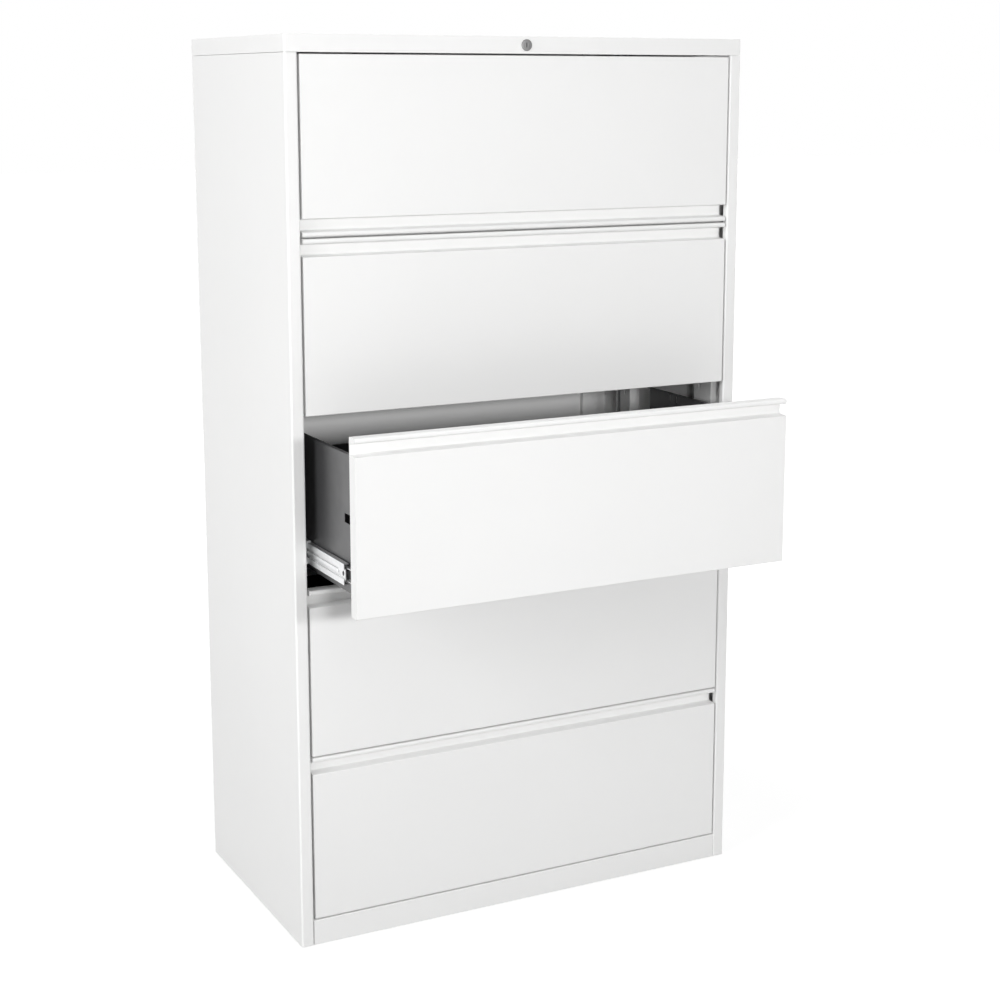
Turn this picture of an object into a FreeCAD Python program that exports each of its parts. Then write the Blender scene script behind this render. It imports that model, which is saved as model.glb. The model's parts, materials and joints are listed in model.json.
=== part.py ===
# A five-opening lateral filing cabinet: four drawers on telescoping slides, a lift-up door
# that slides back over the top compartment, and one lock that holds all four drawers.
# Millimetres. +X is to the right, +Y to the back, +Z up. The origin is on the floor, under
# the middle of the case. The drawer named in OPEN_DRAWER stands open, the others are shut.
import FreeCAD, Part
import os
import Sketcher

DRAWERS = ("drawer_5", "drawer_4", "drawer_3", "drawer_2")  # from the floor up
OPEN_DRAWER = "drawer_3"
OPENINGS = len(DRAWERS) + 1  # the door has the top one
HEX_CORNER = 3 ** -0.5  # corner radius of a hexagon, over its width across flats

SIZES = {
    # case
    "case_width": 914.4,
    "case_depth": 489.0,
    "case_height": 1627.0,
    "case_sheet": 1.0,
    "case_bend": 3.5,
    "stile_width": 23.8,
    "stile_return": 12.0,
    "rear_wrap": 72.0,
    "panel_lift": 1.0,
    "fit_gap": 0.3,
    # top panel
    "cap_height": 30.0,
    "cap_seam": 0.6,
    # back panel
    "back_overlap": 9.0,
    "back_flange": 12.0,
    # base
    "base_height": 47.75,
    "base_flange": 34.0,
    "base_recess": 0.5,
    "foot_flats": 24.0,
    "foot_clearance": 2.0,
    "foot_height": 7.0,
    "stem_diameter": 10.0,
    "stem_height": 60.0,
    "weight_thickness": 18.0,
    "weight_depth": 84.0,
    "weight_inset": 70.0,
    "weight_gap": 7.0,
    # uprights
    "upright_sheet": 1.5,
    "front_upright_setback": 42.0,
    "front_upright_width": 60.0,
    "rear_upright_gap": 103.0,
    "rear_upright_width": 38.0,
    "slot_width": 5.0,
    "slot_height": 20.0,
    "slot_pitch": 103.0,
    "slot_start": 28.0,
    # fronts of the drawers and the door
    "front_gap": 3.0,
    "side_gap": 3.7,
    "front_depth": 24.0,
    "front_sheet": 1.0,
    "front_edge": 1.6,
    "pull_lip": 8.5,
    "pull_drop": 31.0,
    "pull_depth": 21.0,
    "pull_slope": 2.0,
    "nose_radius": 3.6,
    "pull_radius": 3.0,
    "liner_inset": 2.5,
    # tubs
    "tub_sheet": 1.0,
    "tub_bend": 2.5,
    "tub_rise": 26.0,
    "tub_drop": 40.0,
    "tub_rear_gap": 44.0,
    "tub_hem": 8.0,
    "back_height": 180.0,
    "back_return": 22.0,
    "grip_slot_setback": 60.0,
    "grip_slot_length": 30.0,
    "grip_slot_rise": 147.0,
    "grip_slot_height": 16.0,
    "rail_slot_width": 3.0,
    "rail_slot_height": 13.0,
    "rail_slot_drop": 5.0,
    "rail_slot_setback": 343.0,
    "rail_slot_pitch": 24.0,
    # slides
    "slide_space": 21.4,
    "slide_sheet": 1.5,
    "slide_running": 0.5,
    "slide_level": 61.3,
    "slide_height": 37.0,
    "slide_race": 10.0,
    "slide_jog": 3.0,
    "slide_core": 24.0,
    "slide_channel": 5.0,
    "slide_setback": 2.0,
    "slide_rear_gap": 9.0,
    "slide_eye": 8.5,
    "slide_eye_setback": 9.5,
    "slide_foot_height": 28.0,
    "slide_foot_inset": 4.0,
    # how far the open drawer stands out, and its middle slide's share of that
    "drawer_out": 213.7,
    "middle_share": 0.8,
    # shelf of the door compartment
    "shelf_depth": 25.0,
    "shelf_setback": 30.0,
    "shelf_rear_gap": 16.0,
    # door gear
    "pivot_setback": 17.0,
    "pivot_drop": 18.0,
    "pin_diameter": 6.0,
    "pin_head": 10.0,
    "pin_head_length": 4.0,
    "pin_clearance": 0.3,
    "guide_height": 26.0,
    "guide_sheet": 1.2,
    "guide_width": 16.0,
    "guide_start": 3.0,
    "guide_end_gap": 8.0,
    "carriage_length": 60.0,
    "carriage_lead": 12.0,
    "carriage_inset": 2.6,
    "carriage_running": 0.5,
    "door_travel": 262.0,
    "tie_bar_diameter": 10.0,
    "tie_bar_setback": 40.0,
    # lock
    "lock_flange": 20.5,
    "lock_flange_thickness": 1.4,
    "lock_barrel": 17.0,
    "lock_barrel_length": 14.0,
    "lock_hole_clearance": 0.4,
    "lock_nut_flats": 22.0,
    "lock_nut_thickness": 4.0,
    "plug_diameter": 11.5,
    "plug_clearance": 0.25,
    "plug_recess": 0.4,
    "keyway_width": 1.8,
    "keyway_height": 7.5,
    "keyway_depth": 9.0,
    "tail_diameter": 6.0,
    "tail_length": 5.0,
    "cam_thickness": 3.0,
    "cam_hub": 10.0,
    "cam_width": 5.0,
    "cam_reach": 13.0,
    "cam_clearance": 0.1,
    # lock bar under the top, and its keepers
    "bar_thickness": 2.5,
    "bar_level": 7.0,
    "bar_width": 16.0,
    "bar_front_gap": 0.6,
    "bar_tab_gap": 18.6,
    "bar_rear_width": 14.0,
    "bar_rear_inset": 19.2,
    "bar_tab_drop": 25.0,
    "fork_half": 5.3,
    "fork_depth": 5.6,
    "fork_shift": 8.2,
    "prong_width": 9.0,
    "keeper_length": 14.0,
    "keeper_sheet": 1.5,
    "keeper_gap": 0.5,
    "keeper_place": 150.0,
    "keeper_spacing": 190.0,
    "side_keeper_setback": 300.0,
    # lock rod with its hooks, and the strikers on the drawers
    "lock_shift": 16.4,
    "lock_lift": 12.0,
    "rod_thickness": 3.0,
    "rod_width": 10.0,
    "rod_inset": 9.4,
    "rod_foot": 60.0,
    "rod_head_height": 28.0,
    "rod_pin_diameter": 4.0,
    "rod_pin_clearance": 0.4,
    "rod_pin_drop": 14.0,
    "hook_reach": 14.0,
    "hook_height": 14.0,
    "hook_tip": 7.0,
    "hook_drop": 2.0,
    "rod_guide_height": 24.0,
    "rod_guide_wall": 2.6,
    "rod_guide_gap": 0.4,
    "rod_guide_rise": 230.0,
    "striker_rise": 150.0,
    "striker_height": 12.0,
    "striker_reach": 18.0,
    "striker_sheet": 3.0,
    "striker_gap": 1.5,
    "striker_foot": 26.0,
    "striker_inset": 10.0,
}


class Size:
    """A length with its value and the sheet expression that it comes from."""

    def __init__(self, value, text):
        self.value = value
        self.text = text

    def __add__(self, other):
        other = as_size(other)
        return Size(self.value + other.value, f"({self.text} + {other.text})")

    def __sub__(self, other):
        other = as_size(other)
        return Size(self.value - other.value, f"({self.text} - {other.text})")

    def __mul__(self, factor):
        factor = as_size(factor)
        return Size(self.value * factor.value, f"({self.text} * {factor.text})")

    def __truediv__(self, divisor):
        divisor = as_size(divisor)
        return Size(self.value / divisor.value, f"({self.text} / {divisor.text})")

    def __neg__(self):
        return self * -1

    def __rmul__(self, factor):
        return self * factor


def as_size(number):
    if isinstance(number, Size):
        return number
    return Size(float(number), f"({float(number)})")


class Sizes:
    """The cells of the sheet, each as a Size named for its alias."""

    def __init__(self, sheet):
        for alias in SIZES:
            setattr(self, alias, Size(float(sheet.get(alias)), f"sizes.{alias}"))


doc = FreeCAD.newDocument("filing_cabinet")
sheet = doc.addObject("Spreadsheet::Sheet", "sizes")
for row, (alias, value) in enumerate(SIZES.items(), start=1):
    sheet.set(f"A{row}", alias)
    sheet.set(f"B{row}", str(value))
    sheet.setAlias(f"B{row}", alias)
doc.recompute()
size = Sizes(sheet)
ZERO = as_size(0)
pieces = []

# Places that several pieces share
half_width = size.case_width / 2
case_front = -size.case_depth / 2
case_back = size.case_depth / 2
panel_inside = half_width - size.case_sheet  # inner face of a side panel
opening_half = half_width - size.stile_width
cap_bottom = size.case_height - size.cap_height
base_top = size.base_height - size.case_sheet
base_side = panel_inside - size.fit_gap
base_front = case_front + size.stile_return + size.fit_gap
back_front = case_back - 2 * size.case_sheet  # inner face of the back panel
base_back = back_front - size.back_flange - size.fit_gap
fronts_space = cap_bottom - size.base_height - (OPENINGS + 1) * size.front_gap
front_height = fronts_space / OPENINGS
front_half = opening_half - size.side_gap
liner_front = case_front + size.front_depth
liner_back = liner_front + size.front_sheet
tub_half = opening_half - size.slide_space
tub_top = front_height - size.tub_drop
tub_end = back_front - size.tub_rear_gap
slide_front = liner_back + size.slide_setback
slide_end = tub_end - size.slide_rear_gap
pivot_depth = case_front + size.pivot_setback
lock_level = cap_bottom + size.cap_height / 2


def level(opening):
    """Height of the bottom edge of a front, with the openings counted from the floor."""
    return size.base_height + size.front_gap + opening * (front_height + size.front_gap)


door_level = level(OPENINGS - 1)
pivot_level = door_level + front_height - size.pivot_drop
uprights_top = pivot_level - size.guide_height / 2 - size.front_gap

# Sketch planes: the plane's role, and whether its normal points along the axis
PLANES = {"x": ("YZ_Plane", 1), "y": ("XZ_Plane", -1), "z": ("XY_Plane", 1)}


def new_body(label):
    body = doc.addObject("PartDesign::Body", label)
    body.Label = label
    return body


def keep(piece, label):
    """Hand a finished piece over for export, under its own label."""
    piece.Label = label
    pieces.append(piece)
    return piece


def place(piece, x=None, y=None, z=None):
    for axis, position in (("x", x), ("y", y), ("z", z)):
        if position is not None:
            piece.setExpression(f"Placement.Base.{axis}", position.text)
    return piece


def origin_feature(body, role):
    for feature in body.Origin.OriginFeatures:
        if feature.Role == role:
            return feature
    raise ValueError(f"no {role} in {body.Label}")


def new_sketch(body, axis, position):
    """A sketch square to an axis, at a position along it."""
    role, direction = PLANES[axis]
    sketch = body.newObject("Sketcher::SketchObject", f"{body.Name}_sketch")
    sketch.AttachmentSupport = [(origin_feature(body, role), "")]
    sketch.MapMode = "FlatFace"
    sketch.setExpression("AttachmentOffset.Base.z", (direction * position).text)
    return sketch


def tie(sketch, ties):
    """Add constraints to a sketch, and bind those with a size to the sheet."""
    first = sketch.ConstraintCount
    sketch.addConstraint([constraint for constraint, _ in ties])
    for number, (_, length) in enumerate(ties, start=first):
        if length is not None:
            sketch.setExpression(f"Constraints[{number}]", length.text)


def draw_outline(sketch, points):
    """A closed outline of straight lines. A line along an axis has one dimension, not two."""
    points = [(as_size(across), as_size(up)) for across, up in points]
    corners = [FreeCAD.Vector(across.value, up.value, 0) for across, up in points]
    lines = []
    for start, end in zip(corners, corners[1:] + corners[:1]):
        lines.append(sketch.addGeometry(Part.LineSegment(start, end), False))
    ties = []
    for line, following in zip(lines, lines[1:] + lines[:1]):
        ties.append((Sketcher.Constraint("Coincident", line, 2, following, 1), None))
    for number, (line, point) in enumerate(zip(lines, points)):
        before = points[number - 1] if number else (None, None)
        for length, last, straight, distance in (
            (point[0], before[0], "Vertical", "DistanceX"),
            (point[1], before[1], "Horizontal", "DistanceY"),
        ):
            if last is not None and last.text == length.text:
                ties.append((Sketcher.Constraint(straight, lines[number - 1]), None))
            else:
                ties.append((Sketcher.Constraint(distance, -1, 1, line, 1, length.value), length))
    tie(sketch, ties)


def draw_circle(sketch, centre, diameter):
    across, up = [as_size(length) for length in centre]
    middle = FreeCAD.Vector(across.value, up.value, 0)
    normal = FreeCAD.Vector(0, 0, 1)
    circle = sketch.addGeometry(Part.Circle(middle, normal, diameter.value / 2), False)
    tie(sketch, [
        (Sketcher.Constraint("DistanceX", -1, 1, circle, 3, across.value), across),
        (Sketcher.Constraint("DistanceY", -1, 1, circle, 3, up.value), up),
        (Sketcher.Constraint("Diameter", circle, diameter.value), diameter),
    ])


def hexagon(centre, flats):
    """The corners of a hexagon, two of them above and below its centre."""
    across, up = centre
    side = flats / 2
    corner = flats * HEX_CORNER
    return [
        (across, up + corner),
        (across + side, up + corner / 2),
        (across + side, up - corner / 2),
        (across, up - corner),
        (across - side, up - corner / 2),
        (across - side, up + corner / 2),
    ]


def rectangle(low, high):
    return [low, (high[0], low[1]), high, (low[0], high[1])]


def add(body, axis, start, end, outlines=(), circles=()):
    """Pad outlines and circles along an axis, from start to end."""
    direction = PLANES[axis][1]
    sketch = new_sketch(body, axis, start if direction > 0 else end)
    for points in outlines:
        draw_outline(sketch, points)
    for centre, diameter in circles:
        draw_circle(sketch, centre, diameter)
    pad = body.newObject("PartDesign::Pad", f"{body.Name}_pad")
    pad.Profile = sketch
    pad.setExpression("Length", (end - start).text)
    doc.recompute()
    return pad


def cut(body, axis, start, end, outlines=(), circles=()):
    """Cut outlines and circles out of a body along an axis, from start to end."""
    direction = PLANES[axis][1]
    before = body.Shape.Volume
    sketch = new_sketch(body, axis, end if direction > 0 else start)
    for points in outlines:
        draw_outline(sketch, points)
    for centre, diameter in circles:
        draw_circle(sketch, centre, diameter)
    pocket = body.newObject("PartDesign::Pocket", f"{body.Name}_pocket")
    pocket.Profile = sketch
    pocket.setExpression("Length", (end - start).text)
    doc.recompute()
    if body.Shape.Volume > before - 1e-3:
        raise ValueError(f"a pocket of {body.Label} cuts nothing")
    return pocket


def repeat(body, feature, axis_role, spacing, count):
    """Repeat a feature in a row along one of the body's axes."""
    pattern = body.newObject("PartDesign::LinearPattern", f"{body.Name}_row")
    pattern.Originals = [feature]
    pattern.Direction = (origin_feature(body, axis_role), [""])
    pattern.Mode = "Spacing"
    pattern.setExpression("Offset", spacing.text)
    pattern.Occurrences = count
    body.Tip = pattern
    doc.recompute()
    return pattern


def edges_along(shape, axis, places):
    """Names of the straight edges along an axis that pass through one of the places."""
    others = [number for number in range(3) if "xyz"[number] != axis]
    names = []
    for number, edge in enumerate(shape.Edges, start=1):
        ends = [vertex.Point for vertex in edge.Vertexes]
        if len(ends) != 2 or not isinstance(edge.Curve, Part.Line):
            continue
        for spot in places:
            wanted = [as_size(length).value for length in spot]
            if all(abs(end[k] - w) < 1e-3 for end in ends for k, w in zip(others, wanted)):
                names.append(f"Edge{number}")
    return names


def round_edges(body, axis, places, radius):
    """Fillet the edges along an axis at the given places."""
    base = body.Tip
    names = edges_along(base.Shape, axis, places)
    if len(names) < len(places):
        raise ValueError(f"{body.Label} lacks an edge to round")
    fillet = body.newObject("PartDesign::Fillet", f"{body.Name}_fillet")
    fillet.Base = (base, names)
    fillet.setExpression("Radius", radius.text)
    doc.recompute()
    return fillet


def shell(body, axis, position, sheet_size):
    """Hollow a body to a sheet, open at its flat face square to an axis."""
    base = body.Tip
    number = "xyz".index(axis)
    for count, face in enumerate(base.Shape.Faces, start=1):
        flat = isinstance(face.Surface, Part.Plane) and abs(face.normalAt(0, 0)[number]) > 0.99
        if flat and abs(face.CenterOfMass[number] - position.value) < 1e-3:
            hollow = body.newObject("PartDesign::Thickness", f"{body.Name}_shell")
            hollow.Base = (base, [f"Face{count}"])
            hollow.setExpression("Value", sheet_size.text)
            hollow.Reversed = True
            doc.recompute()
            return hollow
    raise ValueError(f"{body.Label} has no face to open")


def mirror(source, normal, label):
    other = doc.addObject("Part::Mirroring", label)
    other.Source = source
    other.Normal = FreeCAD.Vector(*normal)
    return other


def group(label, members):
    both = doc.addObject("Part::Compound", label)
    both.Links = members
    doc.recompute()
    return keep(both, label)


def pair(label, body):
    """A piece on the right side and its mirror image on the left."""
    return group(label, [body, mirror(body, (1, 0, 0), f"{label}_left")])


def slab(label, low, high):
    """A plain rectangular piece between two corners."""
    box = doc.addObject("Part::Box", label)
    for length, start, end in zip(("Length", "Width", "Height"), low, high):
        box.setExpression(length, (end - start).text)
    place(box, *low)
    return box


# Case

def side_panel(label, side):
    """One sheet: the side wall, the front stile with its return, and the wrap at the back."""
    wall = size.case_sheet
    outside = side * half_width
    inside = side * panel_inside
    stile = side * opening_half
    stile_back = side * (opening_half + wall)
    wrap = side * (half_width - size.rear_wrap)
    stile_end = case_front + size.stile_return
    body = new_body(label)
    add(body, "z", size.panel_lift, cap_bottom - size.cap_seam, [[
        (outside, case_front),
        (stile, case_front),
        (stile, stile_end),
        (stile_back, stile_end),
        (stile_back, case_front + wall),
        (inside, case_front + wall),
        (inside, case_back - wall),
        (wrap, case_back - wall),
        (wrap, case_back),
        (outside, case_back),
    ]])
    round_edges(body, "z", [
        (outside, case_front),
        (outside, case_back),
        (stile, case_front),
    ], size.case_bend)
    round_edges(body, "z", [
        (inside, case_front + wall),
        (inside, case_back - wall),
        (stile_back, case_front + wall),
    ], size.case_bend - wall)
    return keep(body, label)


def top_panel():
    """A cap with a skirt on all four sides, and the hole for the lock."""
    body = new_body("top_panel")
    add(body, "z", cap_bottom, size.case_height, [
        rectangle((-half_width, case_front), (half_width, case_back)),
    ])
    corners = [(x, y) for x in (-half_width, half_width) for y in (case_front, case_back)]
    round_edges(body, "z", corners, size.case_bend)
    shell(body, "z", cap_bottom, size.case_sheet)
    hole = size.lock_barrel + size.lock_hole_clearance
    cut(body, "y", case_front, case_front + 2 * size.case_sheet, circles=[((ZERO, lock_level), hole)])
    return keep(body, "top_panel")


def back_panel():
    """A sheet in front of the two rear wraps, its edges folded forward."""
    body = new_body("back_panel")
    edge = half_width - size.rear_wrap + size.back_overlap
    fold = edge - size.case_sheet
    behind = case_back - size.case_sheet
    flange_end = back_front - size.back_flange
    top = size.case_height - size.case_sheet - size.cap_seam
    add(body, "z", size.panel_lift, top, [[
        (-edge, behind),
        (edge, behind),
        (edge, flange_end),
        (fold, flange_end),
        (fold, back_front),
        (-fold, back_front),
        (-fold, flange_end),
        (-edge, flange_end),
    ]])
    return keep(body, "back_panel")


# A foot stands in a corner of the opening that the flange of the base pan leaves
foot_inset = size.base_flange + size.foot_flats * HEX_CORNER + size.foot_clearance
foot_across = base_side - foot_inset
foot_front = base_front + foot_inset
foot_back = base_back - foot_inset


def base_pan():
    """A tray turned over, with a flange round its foot that stands on the floor."""
    def inset(distance):
        low = (-base_side + distance, base_front + distance)
        high = (base_side - distance, base_back - distance)
        return rectangle(low, high)

    wall = size.case_sheet
    hole = size.stem_diameter + 2 * size.fit_gap
    body = new_body("base_pan")
    add(body, "z", ZERO, base_top, [inset(ZERO)])
    cut(body, "z", wall, base_top - wall, [inset(wall)])
    cut(body, "z", ZERO, wall, [inset(size.base_flange)])
    cut(body, "z", base_top - wall, base_top, circles=[
        ((x, y), hole) for x in (-foot_across, foot_across) for y in (foot_front, foot_back)
    ])
    return keep(body, "base_pan")


def levelling_feet():
    """Four feet whose stems are screwed through the top of the base pan."""
    feet = []
    for label, spot in (("front", (foot_across, foot_front)), ("rear", (foot_across, foot_back))):
        foot = new_body(f"{label}_right_foot")
        add(foot, "z", ZERO, size.foot_height, [hexagon(spot, size.foot_flats)])
        add(foot, "z", size.foot_height, size.stem_height, circles=[(spot, size.stem_diameter)])
        feet += [foot, mirror(foot, (1, 0, 0), f"{label}_left_foot")]
    return group("levelling_feet", feet)


def base_rail():
    """The rail between the stiles at the floor, folded back at its top and bottom."""
    body = new_body("base_rail")
    face = case_front + size.base_recess
    inside = face + size.case_sheet
    end = base_front
    low = size.panel_lift
    high = size.base_height
    side = opening_half - size.fit_gap
    add(body, "x", -side, side, [[
        (face, low),
        (end, low),
        (end, low + size.case_sheet),
        (inside, low + size.case_sheet),
        (inside, high - size.case_sheet),
        (end, high - size.case_sheet),
        (end, high),
        (face, high),
    ]])
    round_edges(body, "x", [(face, high)], size.front_edge)
    return keep(body, "base_rail")


def counterweight():
    side = half_width - size.weight_inset
    back = foot_back - size.stem_diameter / 2 - size.weight_gap
    low = (-side, back - size.weight_depth, base_top)
    high = (side, back, base_top + size.weight_thickness)
    return keep(slab("counterweight", low, high), "counterweight")


# Front and back of the uprights
upright_front = case_front + size.front_upright_setback
upright_back = back_front - size.rear_upright_gap
front_upright = (upright_front, upright_front + size.front_upright_width)
rear_upright = (upright_back - size.rear_upright_width, upright_back)


def upright(label, side, spot, columns):
    """A channel on the side panel, with columns of slots, in turn high and low, for the slides
    to hook into."""
    front, back = spot
    face = side * opening_half
    web = side * (opening_half + size.upright_sheet)
    foot = side * panel_inside
    wall = size.upright_sheet
    body = new_body(label)
    add(body, "z", base_top, uprights_top, [[
        (face, front),
        (foot, front),
        (foot, front + wall),
        (web, front + wall),
        (web, back - wall),
        (foot, back - wall),
        (foot, back),
        (face, back),
    ]])
    inner, outer = (face, web) if side > 0 else (web, face)
    bottom = base_top + size.slot_start
    slots = []
    for column in range(columns):
        middle = front + (back - front) * (column + 1) / (columns + 1)
        start = bottom + column * size.slot_pitch / 2
        end = start + size.slot_height
        slots.append(rectangle(
            (middle - size.slot_width / 2, start),
            (middle + size.slot_width / 2, end),
        ))
    pocket = cut(body, "x", inner, outer, slots)
    rows = int((uprights_top - end).value // size.slot_pitch.value) + 1
    repeat(body, pocket, "Z_Axis", size.slot_pitch, rows)
    return keep(body, label)


def shelf():
    """The floor of the door compartment, a pan turned over between the uprights."""
    side = opening_half - size.fit_gap
    front = case_front + size.shelf_setback
    back = back_front - size.shelf_rear_gap
    bottom = door_level - size.shelf_depth
    body = new_body("shelf")
    add(body, "z", bottom, door_level, [rectangle((-side, front), (side, back))])
    round_edges(body, "x", [(front, door_level)], size.front_edge)
    shell(body, "z", bottom, size.case_sheet)
    return keep(body, "shelf")


# Fronts, tubs and slides

def front_panel(label, opening, forward, pull_on_top, pin_holes=()):
    """A folded front: a pan with a finger pull across its whole width, at its top or bottom."""
    def height(rise):
        return rise if pull_on_top else front_height - rise

    wall = size.front_sheet
    recess = case_front + size.pull_depth
    lip = front_height - size.pull_lip
    ledge = front_height - size.pull_drop
    recess_top = lip - size.pull_slope
    recess_foot = ledge + size.pull_slope
    body = new_body(label)
    add(body, "x", -front_half, front_half, [[
        (case_front, height(ZERO)),
        (liner_front, height(ZERO)),
        (liner_front, height(front_height)),
        (case_front, height(front_height)),
        (case_front, height(lip)),
        (recess, height(recess_top)),
        (recess, height(recess_foot)),
        (case_front, height(ledge)),
    ]])
    round_edges(body, "x", [
        (case_front, height(front_height)),
        (case_front, height(lip)),
    ], size.nose_radius)
    round_edges(body, "x", [
        (recess, height(recess_top)),
        (recess, height(recess_foot)),
    ], size.pull_radius)
    round_edges(body, "x", [
        (case_front, height(ZERO)),
        (case_front, height(ledge)),
    ], size.front_edge)
    side = front_half - wall
    for depth, low, high in (
        (case_front + wall, wall, ledge - wall),
        (recess + wall, ledge - wall, recess_top),
        (case_front + size.nose_radius, lip + wall, front_height - wall),
    ):
        cut(body, "y", depth, liner_front, [rectangle((-side, height(low)), (side, height(high)))])
    if pin_holes:
        cut(body, "x", -front_half, front_half, circles=pin_holes)
    place(body, y=forward, z=level(opening))
    return keep(body, label)


def liner(label, opening, forward):
    """The sheet that closes a front from behind."""
    side = front_half - size.liner_inset
    bottom = level(opening)
    low = (-side, liner_front + forward, bottom + size.liner_inset)
    high = (side, liner_back + forward, bottom + front_height - size.liner_inset)
    return keep(slab(label, low, high), label)


def tub(label, opening, forward):
    """Floor and sides of a drawer from one sheet, the top edges turned in."""
    wall = size.tub_sheet
    floor = size.tub_rise
    inside = tub_half - wall
    hem = tub_half - size.tub_hem
    body = new_body(label)
    add(body, "y", liner_back, tub_end, [[
        (-tub_half, floor),
        (tub_half, floor),
        (tub_half, tub_top),
        (hem, tub_top),
        (hem, tub_top - wall),
        (inside, tub_top - wall),
        (inside, floor + wall),
        (-inside, floor + wall),
        (-inside, tub_top - wall),
        (-hem, tub_top - wall),
        (-hem, tub_top),
        (-tub_half, tub_top),
    ]])
    round_edges(body, "y", [(-tub_half, floor), (tub_half, floor)], size.tub_bend)
    round_edges(body, "y", [(-inside, floor + wall), (inside, floor + wall)], size.tub_bend - wall)
    grip_front = case_front + size.grip_slot_setback
    grip_foot = size.grip_slot_rise
    cut(body, "x", -tub_half, tub_half, [rectangle(
        (grip_front, grip_foot),
        (grip_front + size.grip_slot_length, grip_foot + size.grip_slot_height),
    )])
    rail_front = case_front + size.rail_slot_setback
    rail_top = tub_top - size.rail_slot_drop
    rail_slots = []
    for step in (0, 1):
        front = rail_front + step * size.rail_slot_pitch
        rail_slots.append(rectangle(
            (front, rail_top - size.rail_slot_height),
            (front + size.rail_slot_width, rail_top),
        ))
    cut(body, "x", -tub_half, tub_half, rail_slots)
    place(body, y=forward, z=level(opening))
    return keep(body, label)


def tub_back(label, opening, forward):
    """The back wall of a drawer, lower than its sides, with its edges folded forward."""
    side = tub_half - size.tub_sheet
    fold = side - size.tub_sheet
    front = tub_end - size.tub_sheet
    flange_end = tub_end - size.back_return
    floor = size.tub_rise + size.tub_bend
    body = new_body(label)
    add(body, "z", floor, floor + size.back_height, [[
        (-side, tub_end),
        (side, tub_end),
        (side, flange_end),
        (fold, flange_end),
        (fold, front),
        (-fold, front),
        (-fold, flange_end),
        (-side, flange_end),
    ]])
    place(body, y=forward, z=level(opening))
    return keep(body, label)


# Depths of the slides, from the tub outwards
slide_half = size.slide_height / 2
drawer_lips = tub_half + size.slide_sheet + size.slide_channel
middle_web = drawer_lips + size.slide_running
middle_race = middle_web + size.slide_jog
case_web = middle_race + size.slide_sheet + size.slide_running
flange_end = tub_half + size.slide_sheet + 2 * size.slide_running


def case_slides(label, opening):
    """The members on the uprights: channels open towards the drawer, with a foot on each upright."""
    wall = size.slide_sheet
    behind = case_web + wall
    high = slide_half + size.slide_running + wall
    foot = size.slide_foot_height / 2
    body = new_body(f"{label}_right")
    add(body, "y", slide_front, slide_end, [[
        (behind, -high),
        (behind, high),
        (flange_end, high),
        (flange_end, high - wall),
        (case_web, high - wall),
        (case_web, -high + wall),
        (flange_end, -high + wall),
        (flange_end, -high),
    ]])
    for front, back in (front_upright, rear_upright):
        start = front + size.slide_foot_inset
        end = back - size.slide_foot_inset
        add(body, "x", behind, opening_half, [rectangle((start, -foot), (end, foot))])
    place(body, z=level(opening) + size.slide_level)
    return pair(label, body)


def middle_slides(label, opening, forward):
    """The members between: channels open towards the drawer, with a race along the top and the
    bottom and a web set in between the races."""
    wall = size.slide_sheet
    web = middle_web
    race = middle_race
    high = slide_half
    step = high - size.slide_race
    body = new_body(f"{label}_right")
    add(body, "y", slide_front, slide_end, [[
        (flange_end, high),
        (race + wall, high),
        (race + wall, step),
        (web + wall, step),
        (web + wall, -step),
        (race + wall, -step),
        (race + wall, -high),
        (flange_end, -high),
        (flange_end, -high + wall),
        (race, -high + wall),
        (race, -step - wall),
        (web, -step - wall),
        (web, step + wall),
        (race, step + wall),
        (race, high - wall),
        (flange_end, high - wall),
    ]])
    eye = (slide_front + size.slide_eye_setback, ZERO)
    cut(body, "x", web, web + wall, circles=[(eye, size.slide_eye)])
    place(body, y=forward, z=level(opening) + size.slide_level)
    return pair(label, body)


def drawer_slides(label, opening, forward):
    """The members on the tub: channels open towards the case."""
    wall = size.slide_sheet
    web = tub_half + wall
    high = size.slide_core / 2
    body = new_body(f"{label}_right")
    add(body, "y", slide_front, slide_end, [[
        (tub_half, -high),
        (tub_half, high),
        (drawer_lips, high),
        (drawer_lips, high - wall),
        (web, high - wall),
        (web, -high + wall),
        (drawer_lips, -high + wall),
        (drawer_lips, -high),
    ]])
    place(body, y=forward, z=level(opening) + size.slide_level)
    return pair(label, body)


# The strikers are fixed at the back of the tubs, and the lock rod stands in front of them
striker_face = tub_end - size.striker_inset - size.striker_foot
rod_back = striker_face - size.striker_gap
rod_front = rod_back - size.rod_thickness


def striker(label, opening, forward):
    """An angle on the right side of a tub, which stands behind a hook of the lock rod."""
    face = striker_face
    foot = tub_half + size.striker_sheet
    body = new_body(label)
    add(body, "z", size.striker_rise, size.striker_rise + size.striker_height, [[
        (tub_half, face),
        (tub_half + size.striker_reach, face),
        (tub_half + size.striker_reach, face + size.striker_sheet),
        (foot, face + size.striker_sheet),
        (foot, face + size.striker_foot),
        (tub_half, face + size.striker_foot),
    ]])
    place(body, y=forward, z=level(opening))
    return keep(body, label)


def drawer(name, opening):
    out = size.drawer_out if name == OPEN_DRAWER else ZERO
    forward = -out
    middle_forward = -out * size.middle_share
    front_panel(f"{name}_front", opening, forward, pull_on_top=True)
    liner(f"{name}_liner", opening, forward)
    tub(f"{name}_tub", opening, forward)
    tub_back(f"{name}_back", opening, forward)
    striker(f"{name}_striker", opening, forward)
    drawer_slides(f"{name}_inner_slides", opening, forward)
    middle_slides(f"{name}_middle_slides", opening, middle_forward)
    case_slides(f"{name}_outer_slides", opening)


# Door

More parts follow.
